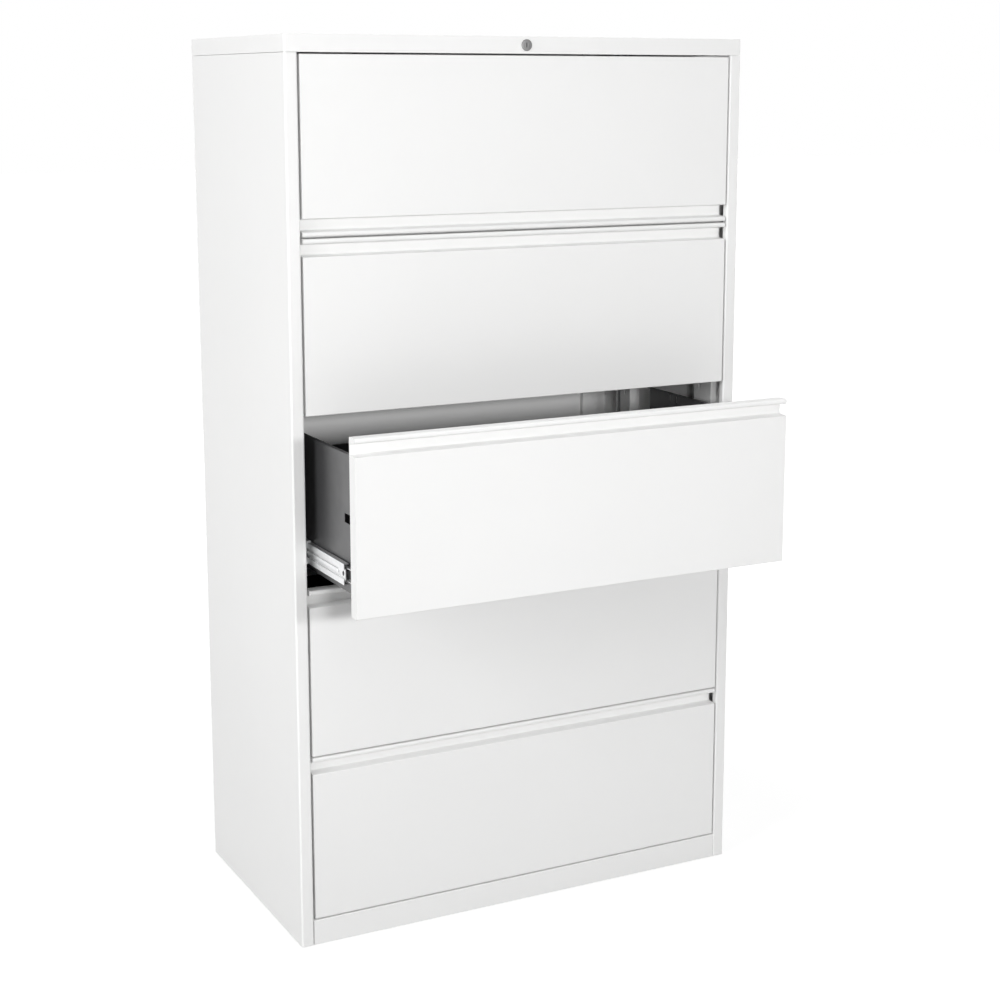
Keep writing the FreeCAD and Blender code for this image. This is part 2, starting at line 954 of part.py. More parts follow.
guide_outside = panel_inside - size.fit_gap
guide_inside = guide_outside - size.guide_width
carriage_inside = opening_half + size.carriage_inset
carriage_front = pivot_depth - size.carriage_lead
carriage_back = carriage_front + size.carriage_length
pin_end = guide_inside + size.guide_width / 2


def door_pins():
    """A pin at each top corner of the door, its head inside the end of the pan."""
    centre = (pivot_depth, pivot_level)
    head_end = front_half - size.front_sheet
    body = new_body("door_pin")
    add(body, "x", head_end - size.pin_head_length, head_end, circles=[(centre, size.pin_head)])
    add(body, "x", head_end, pin_end, circles=[(centre, size.pin_diameter)])
    return pair("door_pins", body)


def door_guides():
    """Channels on the side panels, in which the door's carriages slide."""
    wall = size.guide_sheet
    high = size.guide_height / 2
    web = guide_outside - wall
    end = carriage_back + size.door_travel + size.guide_end_gap
    body = new_body("door_guide")
    add(body, "y", case_front + size.case_sheet + size.guide_start, end, [[
        (guide_outside, pivot_level - high),
        (guide_outside, pivot_level + high),
        (guide_inside, pivot_level + high),
        (guide_inside, pivot_level + high - wall),
        (web, pivot_level + high - wall),
        (web, pivot_level - high + wall),
        (guide_inside, pivot_level - high + wall),
        (guide_inside, pivot_level - high),
    ]])
    return pair("door_guides", body)


def door_carriages():
    """Blocks in the guides, each bored for a door pin."""
    high = size.guide_height / 2 - size.guide_sheet - size.carriage_running
    outside = guide_outside - size.guide_sheet - size.carriage_running
    bore = size.pin_diameter + 2 * size.pin_clearance
    body = new_body("door_carriage")
    add(body, "x", carriage_inside, outside, [rectangle(
        (carriage_front, pivot_level - high),
        (carriage_back, pivot_level + high),
    )])
    cut(body, "x", carriage_inside, pin_end + size.fit_gap, circles=[((pivot_depth, pivot_level), bore)])
    return pair("door_carriages", body)


def door_tie_bar():
    """The bar that keeps the two carriages level with each other."""
    body = new_body("door_tie_bar")
    centre = (pivot_depth + size.tie_bar_setback, pivot_level)
    add(body, "x", -carriage_inside, carriage_inside, circles=[(centre, size.tie_bar_diameter)])
    return keep(body, "door_tie_bar")


def door():
    opening = OPENINGS - 1
    hole = size.pin_diameter + 2 * size.fit_gap
    centre = (pivot_depth, pivot_level - door_level)
    front_panel("door_front", opening, ZERO, pull_on_top=False, pin_holes=[(centre, hole)])
    liner("door_liner", opening, ZERO)
    door_pins()
    door_guides()
    door_carriages()
    door_tie_bar()


# Lock

housing_end = case_front + size.case_sheet + size.lock_barrel_length
cam_front = housing_end + size.fit_gap
cam_back = cam_front + size.cam_thickness
bar_front = housing_end + size.bar_front_gap
bar_low = lock_level + size.bar_level
bar_high = bar_low + size.bar_thickness
cap_ceiling = size.case_height - size.case_sheet
bar_right = panel_inside - size.bar_rear_inset
bar_left = bar_right - size.bar_rear_width
bar_back = rod_back + size.bar_tab_gap + size.bar_thickness
rod_pin_level = bar_low - size.rod_pin_drop - size.lock_lift / 2
rod_pin_place = bar_left + size.bar_rear_width / 2


def lock_housing():
    """A flanged barrel in the skirt of the top panel."""
    centre = (ZERO, lock_level)
    bore = size.plug_diameter + 2 * size.plug_clearance
    flange_front = case_front - size.lock_flange_thickness
    body = new_body("lock_housing")
    add(body, "y", flange_front, case_front, circles=[(centre, size.lock_flange)])
    add(body, "y", case_front, housing_end, circles=[(centre, size.lock_barrel)])
    cut(body, "y", flange_front, housing_end, circles=[(centre, bore)])
    return keep(body, "lock_housing")


def lock_nut():
    """The hexagon nut that draws the lock's flange against the skirt."""
    centre = (ZERO, lock_level)
    front = case_front + size.case_sheet
    back = front + size.lock_nut_thickness
    hole = size.lock_barrel + size.lock_hole_clearance
    body = new_body("lock_nut")
    add(body, "y", front, back, [hexagon(centre, size.lock_nut_flats)])
    cut(body, "y", front, back, circles=[(centre, hole)])
    return keep(body, "lock_nut")


def lock_plug():
    """The key plug, with its key slot in front and its tail for the cam behind."""
    centre = (ZERO, lock_level)
    front = case_front - size.lock_flange_thickness + size.plug_recess
    body = new_body("lock_plug")
    add(body, "y", front, cam_front, circles=[(centre, size.plug_diameter)])
    add(body, "y", cam_front, cam_front + size.tail_length, circles=[(centre, size.tail_diameter)])
    cut(body, "y", front, front + size.keyway_depth, [rectangle(
        (-size.keyway_width / 2, lock_level - size.keyway_height / 2),
        (size.keyway_width / 2, lock_level + size.keyway_height / 2),
    )])
    return keep(body, "lock_plug")


def lock_cam():
    """The arm on the plug's tail. It stands half a quarter turn before the upright."""
    hole = size.tail_diameter + 2 * size.cam_clearance
    arm = size.cam_width / 2
    body = new_body("lock_cam")
    add(body, "y", cam_front, cam_back, circles=[((ZERO, ZERO), size.cam_hub)])
    add(body, "y", cam_front, cam_back, [rectangle((-arm, ZERO), (arm, size.cam_reach))])
    cut(body, "y", cam_front, cam_back, circles=[((ZERO, ZERO), hole)])
    turn = FreeCAD.Rotation(FreeCAD.Vector(0, 1, 0), -45)
    body.Placement = FreeCAD.Placement(FreeCAD.Vector(0, 0, 0), turn)
    place(body, z=lock_level)
    return keep(body, "lock_cam")


def lock_bar():
    """A flat bar that lies under the top: a fork round the cam, an arm to the right side, and
    an arm to the back, whose tab carries the pin that lifts the lock rod."""
    fork_left = -size.fork_shift - size.fork_half
    fork_right = -size.fork_shift + size.fork_half
    fork_end = bar_front + size.fork_depth
    arm_back = bar_front + size.bar_width
    body = new_body("lock_bar")
    add(body, "z", bar_low, bar_high, [[
        (fork_left - size.prong_width, bar_front),
        (fork_left, bar_front),
        (fork_left, fork_end),
        (fork_right, fork_end),
        (fork_right, bar_front),
        (bar_right, bar_front),
        (bar_right, bar_back),
        (bar_left, bar_back),
        (bar_left, arm_back),
        (fork_left - size.prong_width, arm_back),
    ]])
    tab_front = bar_back - size.bar_thickness
    tab_foot = bar_low - size.bar_tab_drop
    add(body, "y", tab_front, bar_back, [rectangle((bar_left, tab_foot), (bar_right, bar_low))])
    pin_front = rod_front - size.fit_gap
    pin = ((rod_pin_place, rod_pin_level), size.rod_pin_diameter)
    add(body, "y", pin_front, tab_front, circles=[pin])
    return keep(body, "lock_bar")


def lock_bar_keepers():
    """Straps under the top panel, in which the lock bar slides."""
    wall = size.keeper_sheet
    gap = size.keeper_gap
    low = bar_low - gap

    def strap(label, axis, start, left, right):
        body = new_body(label)
        add(body, axis, start, start + size.keeper_length, [[
            (left - wall, cap_ceiling),
            (left, cap_ceiling),
            (left, low),
            (right, low),
            (right, cap_ceiling),
            (right + wall, cap_ceiling),
            (right + wall, low - wall),
            (left - wall, low - wall),
        ]])
        return body

    front = bar_front - gap
    back = bar_front + size.bar_width + gap
    first = strap("first_keeper", "x", size.keeper_place, front, back)
    second = strap("second_keeper", "x", size.keeper_place + size.keeper_spacing, front, back)
    side_start = case_front + size.side_keeper_setback
    side = strap("side_keeper", "y", side_start, bar_left - gap, bar_right + size.lock_shift + gap)
    return group("lock_bar_keepers", [first, second, side])


rod_right = panel_inside - size.rod_inset
rod_left = rod_right - size.rod_width


def lock_rod():
    """An upright strip, and its head with the slanted slot that the lock bar's pin lifts it by."""
    head_top = bar_low - size.lock_lift - size.fit_gap
    head_foot = head_top - size.rod_head_height
    head_left = rod_pin_place - size.rod_pin_diameter
    head_right = rod_pin_place + size.lock_shift + size.rod_pin_diameter
    body = new_body("lock_rod")
    add(body, "y", rod_front, rod_back, [
        rectangle((rod_left, level(0) + size.rod_foot), (rod_right, head_top)),
    ])
    add(body, "y", rod_front, rod_back, [rectangle((head_left, head_foot), (head_right, head_top))])
    slack = size.rod_pin_diameter / 2 + size.rod_pin_clearance
    slope = size.lock_lift / size.lock_shift
    slot_half = slack * (slope * slope + 1)
    near = rod_pin_place - slack
    far = rod_pin_place + size.lock_shift + slack
    rise = slack * slope
    start = rod_pin_level + rise
    finish = rod_pin_level - size.lock_lift - rise
    cut(body, "y", rod_front, rod_back, [[
        (near, start - slot_half),
        (near, start + slot_half),
        (far, finish + slot_half),
        (far, finish - slot_half),
    ]])
    return keep(body, "lock_rod")


def lock_hooks():
    """A plate on the edge of the lock rod for each drawer. It rises in front of the striker."""
    tip = rod_left - size.hook_reach
    hooks = []
    for opening in range(len(DRAWERS)):
        top = level(opening) + size.striker_rise - size.hook_drop
        body = new_body(f"lock_hook_{opening}")
        add(body, "y", rod_front, rod_back, [[
            (tip, top),
            (rod_left, top),
            (rod_left, top - size.hook_height),
            (tip, top - size.hook_tip),
        ]])
        hooks.append(body)
    return group("lock_hooks", hooks)


def lock_rod_guides():
    """Blocks on the right side panel that keep the lock rod upright."""
    gap = size.rod_guide_gap
    wall = size.rod_guide_wall
    front = rod_front - gap
    back = rod_back + gap
    foot = rod_right + gap
    guides = []
    for opening in range(len(DRAWERS)):
        bottom = level(opening) + size.rod_guide_rise
        body = new_body(f"lock_rod_guide_{opening}")
        add(body, "z", bottom, bottom + size.rod_guide_height, [[
            (rod_left, front - wall),
            (panel_inside, front - wall),
            (panel_inside, back + wall),
            (rod_left, back + wall),
            (rod_left, back),
            (foot, back),
            (foot, front),
            (rod_left, front),
        ]])
        guides.append(body)
    return group("lock_rod_guides", guides)


def lock():
    lock_housing()
    lock_nut()
    lock_plug()
    lock_cam()
    lock_bar()
    lock_bar_keepers()
    lock_rod()
    lock_hooks()
    lock_rod_guides()


def case():
    side_panel("left_side_panel", -1)
    side_panel("right_side_panel", 1)
    top_panel()
    back_panel()
    base_pan()
    levelling_feet()
    base_rail()
    counterweight()
    for label, side in (("left", -1), ("right", 1)):
        upright(f"front_{label}_upright", side, front_upright, 2)
        upright(f"rear_{label}_upright", side, rear_upright, 1)
    shelf()


def write_pieces():
    """Check that everything was built, then write one file for each piece."""
    doc.recompute()
    for item in doc.Objects:
        if "Invalid" in item.State or "Error" in item.State:
            raise ValueError(f"{item.Label} failed: {item.State}")
    for piece in pieces:
        if piece.Shape.isNull() or not piece.Shape.isValid() or not piece.Shape.Solids:
            raise ValueError(f"{piece.Label} has no valid solid")
    os.makedirs("parts", exist_ok=True)
    for piece in pieces:
        piece.Shape.exportStep(f"parts/{piece.Label}.step")
    print(len(pieces), "pieces written")


case()
for number, name in enumerate(DRAWERS):
    drawer(name, number)
door()
lock()
write_pieces()
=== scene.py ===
# Finishes, small fasteners and a plain studio for a five-opening filing cabinet, one drawer
# pulled out. The cabinet's own pieces come from the frame. Metres, with +Y to the back.
import json
import math

import bpy
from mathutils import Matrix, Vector


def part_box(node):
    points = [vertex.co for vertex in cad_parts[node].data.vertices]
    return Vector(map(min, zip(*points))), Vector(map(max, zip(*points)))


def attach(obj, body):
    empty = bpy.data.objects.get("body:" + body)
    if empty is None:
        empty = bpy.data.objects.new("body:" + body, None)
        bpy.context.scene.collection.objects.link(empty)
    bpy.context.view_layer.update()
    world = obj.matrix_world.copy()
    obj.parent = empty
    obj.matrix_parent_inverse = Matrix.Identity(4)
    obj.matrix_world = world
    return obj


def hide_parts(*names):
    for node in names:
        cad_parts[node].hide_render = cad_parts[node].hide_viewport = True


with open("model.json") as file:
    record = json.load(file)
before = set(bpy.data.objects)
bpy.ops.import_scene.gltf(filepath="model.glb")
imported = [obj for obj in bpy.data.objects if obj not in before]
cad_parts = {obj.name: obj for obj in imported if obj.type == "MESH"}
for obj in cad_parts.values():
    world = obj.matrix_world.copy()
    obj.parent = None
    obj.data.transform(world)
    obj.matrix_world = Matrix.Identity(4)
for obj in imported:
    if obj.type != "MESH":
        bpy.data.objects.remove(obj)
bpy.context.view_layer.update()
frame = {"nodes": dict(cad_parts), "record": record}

bl_info = {
    "name": "Filing cabinet finishes",
    "version": (1, 0, 0),
    "blender": (4, 5, 0),
    "location": "View3D > Sidebar > Cabinet",
    "description": "Dresses a steel filing cabinet and sets it in a plain studio",
    "category": "Object",
}

DRAWERS = ("drawer_2", "drawer_3", "drawer_4", "drawer_5")

# Finishes
NOISE_LOW, NOISE_HIGH = 0.3, 0.7  # the range in which most of a noise lies
COAT_SPREAD = 0.04  # how far a powder coat's roughness varies each way
PLATE_BELOW, PLATE_ABOVE = 0.04, 0.06  # how far a plate's roughness varies down and up
GRAIN_ALONG, GRAIN_ACROSS = 40.0, 900.0  # rolling lines in a metre of sheet, along and across it

# Screw and rivet heads
HEAD_SIDES = 24
HEAD_RIM = 0.75  # rounding of a head's rim, as a share of its rise
SOCKET_EDGE, SOCKET_SLOPE = 0.17, 0.02  # rim and slanted wall of a driver's socket, in diameters
SOCKET_DEPTH = 0.5  # as a share of the head's rise
OUTWARD = 0.99  # cosine past which a face counts as facing outwards
BEND_ANGLE = math.radians(40)  # edges that turn less than this are shaded smooth
SCREW_INSET = 0.0045  # from the edge of the back panel to a screw's axis
SCREW_MARGIN = 0.05  # from the ends of a side panel to its outermost screws
SLIDE_SHEET = 0.0015  # thickness of a drawer's slide, on which the rivets stand
RIVETS_IN_ROW = 4
RIVET_FRONT, RIVET_BACK = 0.062, 0.03  # from a slide's ends to its outermost rivets

# Ribs of the middle slides
RIB_WEB = 0.003  # from a slide's outermost edge in to its web
RIB_SEAT = 0.0003  # how far a rib's foot sinks into the web
RIB_END = 0.03  # from a slide's ends to those of its rib
RIB_ROUNDING = 0.0012

# Release levers: real parts, made as tall as the slide's channel and black, so they also stand in
# for that channel's shade (painted shade)
LEVER_SETBACK = 0.006  # from the front of a slide to its lever
LEVER_SEAT = 0.0016  # from the tub's side to the lever
LEVER_PAD = 0.012  # length of the thumb pad
LEVER_LAP = 0.002  # how far the pad and the bar run into each other
LEVER_BAR = 0.75  # height of the bar, as a share of the pad's
LEVER_ROUNDING = 0.0008

# Lock
RING_SIDES = 64
DRILL_LENGTH = 4  # in lengths of the ring that it bores
PLUG_GAP = 0.0005  # on the diameter, round the key plug
FLANGE_STEP = 0.0035  # the flange's diameter less the barrel's
RING_LAP = 0.0002  # how far the flange and the barrel run into each other

# Studio
FLOOR_WIDTH = 60
FLOOR_GREY = (0.45, 0.45, 0.45, 1.0)
WHITE = (1.0, 1.0, 1.0, 1.0)
GLOW_REACH = (0.7, 4.0)  # distances from the cabinet between which the floor whitens to the eye
GLOW_STRENGTH = (0.62, 0.98)  # its glow at these distances
LAMP_AIM = Vector((0, 0, 0.9))
IMAGE_WIDTH = 1000  # pixels of the square picture that the camera is set for
SENSOR_WIDTH = 36.0  # millimetres

# Soft boxes: name, place, width, height and watts. The two in front stand low enough to light
# the inside of the case over the open drawer.
LAMPS = (
    ("front_softbox", (0.4, -4.4, 1.72), 0.9, 0.3, 48),
    ("fill_softbox", (-1.0, -3.8, 1.64), 0.5, 0.25, 39),
    ("top_softbox", (-1.0, -3.4, 4.2), 2.5, 2.5, 12),
    ("left_softbox", (-4.6, -1.2, 2.5), 2.6, 2.6, 152),
    ("right_softbox", (4.6, 0.8, 2.2), 2.6, 2.6, 74),
    ("back_softbox", (1.0, 4.7, 2.0), 2.6, 2.6, 95),
    ("ceiling_softbox", (0.0, 0.5, 4.8), 2.4, 2.4, 34),
)


# Sizes and colours

class FinishSettings(bpy.types.PropertyGroup):
    """Colours and textures of the cabinet's finishes."""

    white_coat: bpy.props.FloatVectorProperty(
        name="White coat", description="Powder coat of the case and the fronts",
        subtype="COLOR", size=4, default=(0.885, 0.885, 0.88, 1.0), min=0, max=1)
    black_coat: bpy.props.FloatVectorProperty(
        name="Black coat", description="Powder coat of the drawer tubs",
        subtype="COLOR", size=4, default=(0.045, 0.045, 0.047, 1.0), min=0, max=1)
    zinc: bpy.props.FloatVectorProperty(
        name="Zinc plate", description="Bright zinc of the slides and the door gear",
        subtype="COLOR", size=4, default=(0.82, 0.825, 0.83, 1.0), min=0, max=1)
    nickel: bpy.props.FloatVectorProperty(
        name="Lock nickel", description="Satin nickel of the lock's housing and plug",
        subtype="COLOR", size=4, default=(0.2, 0.2, 0.2, 1.0), min=0, max=1)
    iron: bpy.props.FloatVectorProperty(
        name="Cast iron", description="Bare iron of the counterweight",
        subtype="COLOR", size=4, default=(0.09, 0.088, 0.085, 1.0), min=0, max=1)
    nylon: bpy.props.FloatVectorProperty(
        name="Nylon", description="Moulded nylon of the door's carriages",
        subtype="COLOR", size=4, default=(0.78, 0.77, 0.74, 1.0), min=0, max=1)
    # Black of the release levers; it also paints the shade in the channel at the front of the
    # slides.
    black_nylon_and_shade: bpy.props.FloatVectorProperty(
        name="Black nylon", description="Moulded nylon of the levers at the slides",
        subtype="COLOR", size=4, default=(0.012, 0.012, 0.013, 1.0), min=0, max=1)
    peel_size: bpy.props.FloatProperty(
        name="Orange peel", description="Width of the ripples in the powder coat",
        unit="LENGTH", default=0.0022, min=0.0005, max=0.01)
    coat_roughness: bpy.props.FloatProperty(
        name="Coat roughness", description="Roughness of the white powder coat",
        subtype="FACTOR", default=0.5, min=0, max=1)


class FastenerSettings(bpy.types.PropertyGroup):
    """Sizes of the screws, rivets, ribs, release levers and the lock's flange."""

    screw_head: bpy.props.FloatProperty(
        name="Screw head", description="Diameter of a pan head on the back",
        unit="LENGTH", default=0.0085, min=0.002, max=0.02)
    screw_rise: bpy.props.FloatProperty(
        name="Screw rise", description="How far a pan head stands up",
        unit="LENGTH", default=0.0022, min=0.0005, max=0.006)
    screw_rows: bpy.props.IntProperty(
        name="Screws in a row", description="Screws down each edge of the back panel",
        default=7, min=2, max=20)
    rivet_head: bpy.props.FloatProperty(
        name="Rivet head", description="Diameter of a rivet in a drawer slide",
        unit="LENGTH", default=0.008, min=0.002, max=0.02)
    rivet_rise: bpy.props.FloatProperty(
        name="Rivet rise", description="How far a rivet's head stands up",
        unit="LENGTH", default=0.0014, min=0.0003, max=0.004)
    rib_height: bpy.props.FloatProperty(
        name="Rib height", description="Height of the rib along a middle slide's web",
        unit="LENGTH", default=0.0075, min=0.002, max=0.015)
    rib_rise: bpy.props.FloatProperty(
        name="Rib rise", description="How far the rib stands out of the web",
        unit="LENGTH", default=0.0022, min=0.0005, max=0.0028)
    lever_length: bpy.props.FloatProperty(
        name="Lever length", description="Length of the lever that frees a drawer from its slide",
        unit="LENGTH", default=0.04, min=0.01, max=0.08)
    # The pad fills nearly the whole channel between the slide's flanges, so it also stands in for
    # that channel's shade.
    lever_height: bpy.props.FloatProperty(
        name="Lever height", description="Height of the release lever's thumb pad",
        unit="LENGTH", default=0.0185, min=0.004, max=0.0195)
    lever_thickness: bpy.props.FloatProperty(
        name="Lever thickness", description="Thickness of the release lever",
        unit="LENGTH", default=0.0034, min=0.001, max=0.0045)
    lock_rounding: bpy.props.FloatProperty(
        name="Lock rounding", description="Radius on the rim of the lock's flange",
        unit="LENGTH", default=0.0011, min=0.0002, max=0.0014)


class StudioSettings(bpy.types.PropertyGroup):
    """Camera and light."""

    azimuth: bpy.props.FloatProperty(
        name="Azimuth", description="Angle of the camera round the cabinet",
        subtype="ANGLE", default=math.radians(-27.29))
    elevation: bpy.props.FloatProperty(
        name="Elevation", description="Angle of the camera above the horizon",
        subtype="ANGLE", default=math.radians(10.519))
    distance: bpy.props.FloatProperty(
        name="Distance", description="From the camera to its target",
        unit="LENGTH", default=3.6678, min=0.5)
    target: bpy.props.FloatVectorProperty(
        name="Target", description="Point that the camera looks at",
        subtype="TRANSLATION", size=3, default=(0.0731, 0.0, 0.8725))
    focal_pixels: bpy.props.FloatProperty(
        name="Focal length", description="Focal length in pixels of the picture",
        default=1856.5, min=100)
    centre_row: bpy.props.FloatProperty(
        name="Centre row", description="Row of the picture that the lens's axis meets",
        default=430.0)
    sky_light: bpy.props.FloatProperty(
        name="Sky light", description="Even light from all round",
        default=0.21, min=0, max=2)


# Finishes

def new_material(name):
    """A material with its shader, and the piece's own coordinates to lay patterns on."""
    material = bpy.data.materials.new(name)
    material.use_nodes = True
    tree = material.node_tree
    shader = tree.nodes["Principled BSDF"]
    coordinates = tree.nodes.new("ShaderNodeTexCoord")
    return material, tree, shader, coordinates.outputs["Object"]


def noise(tree, place, scale, detail, stretch=None):
    """Noise over the piece's own coordinates, stretched along an axis where asked."""
    texture = tree.nodes.new("ShaderNodeTexNoise")
    texture.inputs["Scale"].default_value = scale
    texture.inputs["Detail"].default_value = detail
    if stretch:
        mapping = tree.nodes.new("ShaderNodeMapping")
        mapping.inputs["Scale"].default_value = stretch
        tree.links.new(place, mapping.inputs["Vector"])
        place = mapping.outputs["Vector"]
    tree.links.new(place, texture.inputs["Vector"])
    return texture.outputs["Fac"]


def shades(tree, factor, dark, light):
    """A colour that varies between two shades."""
    ramp = tree.nodes.new("ShaderNodeValToRGB")
    ramp.color_ramp.elements[0].position = NOISE_LOW
    ramp.color_ramp.elements[0].color = dark
    ramp.color_ramp.elements[1].position = NOISE_HIGH
    ramp.color_ramp.elements[1].color = light
    tree.links.new(factor, ramp.inputs["Fac"])
    return ramp.outputs["Color"]


def spread(tree, factor, low, high):
    """A roughness that varies between two values."""
    ranged = tree.nodes.new("ShaderNodeMapRange")
    ranged.inputs["From Min"].default_value = NOISE_LOW
    ranged.inputs["From Max"].default_value = NOISE_HIGH
    ranged.inputs["To Min"].default_value = low
    ranged.inputs["To Max"].default_value = high
    tree.links.new(factor, ranged.inputs["Value"])
    return ranged.outputs["Result"]


def ripple(tree, shader, height, strength, distance):
    """A fine relief on the surface."""
    bump = tree.nodes.new("ShaderNodeBump")
    bump.inputs["Strength"].default_value = strength
    bump.inputs["Distance"].default_value = distance
    tree.links.new(height, bump.inputs["Height"])
    tree.links.new(bump.outputs["Normal"], shader.inputs["Normal"])


def toned(colour, factor):
    """A colour made darker or lighter."""
    return (colour[0] * factor, colour[1] * factor, colour[2] * factor, 1.0)


def powder_coat(name, colour, roughness, peel_size, variation, lustre=1.5):
    """Baked powder coat: orange peel, faint clouds in the tone and an uneven satin gloss."""
    material, tree, shader, place = new_material(name)
    shader.inputs["IOR"].default_value = lustre
    clouds = noise(tree, place, scale=2.5, detail=3)
    tone = shades(tree, clouds, toned(colour, 1 - variation), tuple(colour))
    tree.links.new(tone, shader.inputs["Base Color"])
    patches = noise(tree, place, scale=35, detail=2)
    gloss = spread(tree, patches, roughness - COAT_SPREAD, roughness + COAT_SPREAD)
    tree.links.new(gloss, shader.inputs["Roughness"])
    peel = noise(tree, place, scale=1 / peel_size, detail=2)
    ripple(tree, shader, peel, strength=0.12, distance=0.00015)
    return material


def plated_steel(name, colour, roughness, grain_axis):
    """Plated sheet: metal with rolling lines along it and a mottled gloss."""
    material, tree, shader, place = new_material(name)
    shader.inputs["Metallic"].default_value = 1.0
    stretch = [GRAIN_ALONG if axis == grain_axis else GRAIN_ACROSS for axis in "xyz"]
    lines = noise(tree, place, scale=1, detail=3, stretch=stretch)
    mottle = noise(tree, place, scale=90, detail=3)
    tone = shades(tree, mottle, toned(colour, factor=0.92), tuple(colour))
    tree.links.new(tone, shader.inputs["Base Color"])
    gloss = spread(tree, lines, roughness - PLATE_BELOW, roughness + PLATE_ABOVE)
    tree.links.new(gloss, shader.inputs["Roughness"])
    ripple(tree, shader, lines, strength=0.05, distance=0.00004)
    return material


def cast_iron(name, colour):
    """Bare casting: dark, gritty and dull."""
    material, tree, shader, place = new_material(name)
    grit = noise(tree, place, scale=260, detail=6)
    tone = shades(tree, grit, toned(colour, factor=0.6), toned(colour, factor=1.3))
    tree.links.new(tone, shader.inputs["Base Color"])
    tree.links.new(spread(tree, grit, low=0.6, high=0.85), shader.inputs["Roughness"])
    ripple(tree, shader, grit, strength=0.6, distance=0.0006)
    return material


def moulded_nylon(name, colour, lustre=1.5):
    """Moulded plastic with faint flow marks and a fine grain."""
    material, tree, shader, place = new_material(name)
    shader.inputs["IOR"].default_value = lustre
    flow = noise(tree, place, scale=30, detail=4)
    tone = shades(tree, flow, toned(colour, factor=0.92), tuple(colour))
    tree.links.new(tone, shader.inputs["Base Color"])
    tree.links.new(spread(tree, flow, low=0.38, high=0.5), shader.inputs["Roughness"])
    grain = noise(tree, place, scale=700, detail=2)
    ripple(tree, shader, grain, strength=0.1, distance=0.0001)
    return material


# Fasteners and trim

def nothing_selected():
    """Leave edit mode, with no piece selected."""
    if bpy.context.object and bpy.context.object.mode != "OBJECT":
        bpy.ops.object.mode_set(mode="OBJECT")
    bpy.ops.object.select_all(action="DESELECT")


def select_top(piece, outward):
    """Select the faces of a piece that look outwards."""
    bpy.ops.object.mode_set(mode="OBJECT")
    turned = piece.matrix_world.to_3x3()
    for polygon in piece.data.polygons:
        facing = (turned @ polygon.normal).dot(outward)
        polygon.select = facing > OUTWARD
    bpy.ops.object.mode_set(mode="EDIT")


def headed(diameter, rise, outward, recessed):
    """A head on the origin, its rim rounded over, with a driver's socket where asked."""
    nothing_selected()
    turn = outward.to_track_quat("Z", "Y").to_euler()
    bpy.ops.mesh.primitive_cylinder_add(
        vertices=HEAD_SIDES, radius=diameter / 2, depth=rise,
        location=outward * (rise / 2), rotation=turn)
    head = bpy.context.object
    bpy.ops.object.mode_set(mode="EDIT")
    bpy.ops.mesh.select_mode(type="FACE")
    bpy.ops.mesh.select_all(action="DESELECT")
    select_top(head, outward)
    bpy.ops.mesh.bevel(offset=rise * HEAD_RIM, segments=4, affect="EDGES")
    if recessed:
        bpy.ops.mesh.select_all(action="DESELECT")
        select_top(head, outward)
        bpy.ops.mesh.inset(thickness=diameter * SOCKET_EDGE, depth=0)
        bpy.ops.mesh.inset(thickness=diameter * SOCKET_SLOPE, depth=-rise * SOCKET_DEPTH)
    bpy.ops.object.mode_set(mode="OBJECT")
    return head


def heads_at(name, places, diameter, rise, outward, recessed=False):
    """One piece of like heads, standing on a face at the given places."""
    first = headed(diameter, rise, outward, recessed)
    seat = first.location.copy()
    heads = [first]
    for _ in places[1:]:
        nothing_selected()
        first.select_set(True)
        bpy.context.view_layer.objects.active = first
        bpy.ops.object.duplicate()
        heads.append(bpy.context.object)
    for head, spot in zip(heads, places):
        head.location = seat + Vector(spot)
    joined = join_all(heads, name)
    smooth_bends(joined)
    return joined


def join_all(pieces, name):
    """Join pieces into the first one, with its place in its mesh."""
    nothing_selected()
    for piece in pieces:
        piece.select_set(True)
    bpy.context.view_layer.objects.active = pieces[0]
    if len(pieces) > 1:
        bpy.ops.object.join()
    bpy.ops.object.transform_apply(location=True, rotation=True, scale=True)
    pieces[0].name = name
    pieces[0].data.name = name
    return pieces[0]


def smooth_bends(piece):
    """Shade the rounded parts of a piece smooth and keep its sharp edges."""
    nothing_selected()
    piece.select_set(True)
    bpy.context.view_layer.objects.active = piece
    bpy.ops.object.shade_smooth_by_angle(angle=BEND_ANGLE)


def rounded_block(low, high, rounding):
    """A block between two corners with its edges rounded."""
    nothing_selected()
    low, high = Vector(low), Vector(high)
    bpy.ops.mesh.primitive_cube_add(size=1, location=(low + high) / 2)
    block = bpy.context.object
    block.scale = high - low
    bpy.ops.object.transform_apply(location=False, rotation=False, scale=True)
    bpy.ops.object.mode_set(mode="EDIT")
    bpy.ops.mesh.select_all(action="SELECT")
    bpy.ops.mesh.bevel(offset=rounding, segments=3, affect="EDGES")
    bpy.ops.object.mode_set(mode="OBJECT")
    return block


